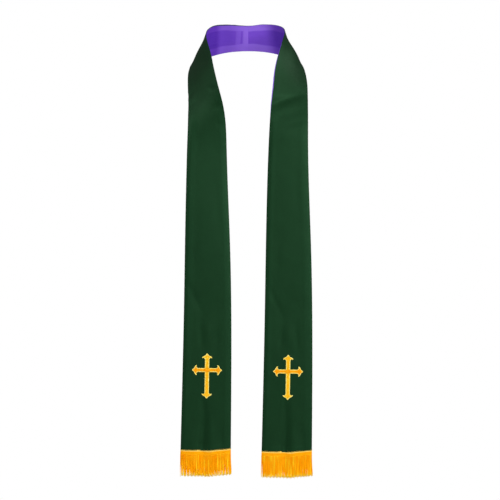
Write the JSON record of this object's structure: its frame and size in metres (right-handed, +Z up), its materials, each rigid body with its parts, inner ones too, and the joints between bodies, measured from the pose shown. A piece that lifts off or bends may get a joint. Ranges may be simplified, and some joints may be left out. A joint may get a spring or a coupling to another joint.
{
  "type": "clerical stole",
  "caption": "Lined clerical stole in its worn pose: a sloping neck band and long front straps, with a raised cross above each fringed hem.",
  "frame": {"origin": "middle of the centre-back seam, between the green shell and the purple lining, where the stole lies on the back of the wearer's neck", "axes": "+X to the right as seen from the front, +Y backwards, away from the front straps, +Z up"},
  "size_m": [0.3387, 0.1971, 1.1744],
  "materials": {
    "green_satin": "dark green polyester satin with a low sheen",
    "purple_satin": "violet satin lining with a soft sheen",
    "gold_thread": "golden yellow satin-stitch embroidery",
    "gold_fringe": "golden yellow rayon fringe"
  },
  "bodies": {
    "root": {"shell_left": "green_satin", "shell_right": "green_satin", "lining_left": "purple_satin", "lining_right": "purple_satin", "fringe_left": "gold_fringe", "fringe_right": "gold_fringe", "cross_left": "gold_thread", "cross_right": "gold_thread"}
  },
  "joints": []
}
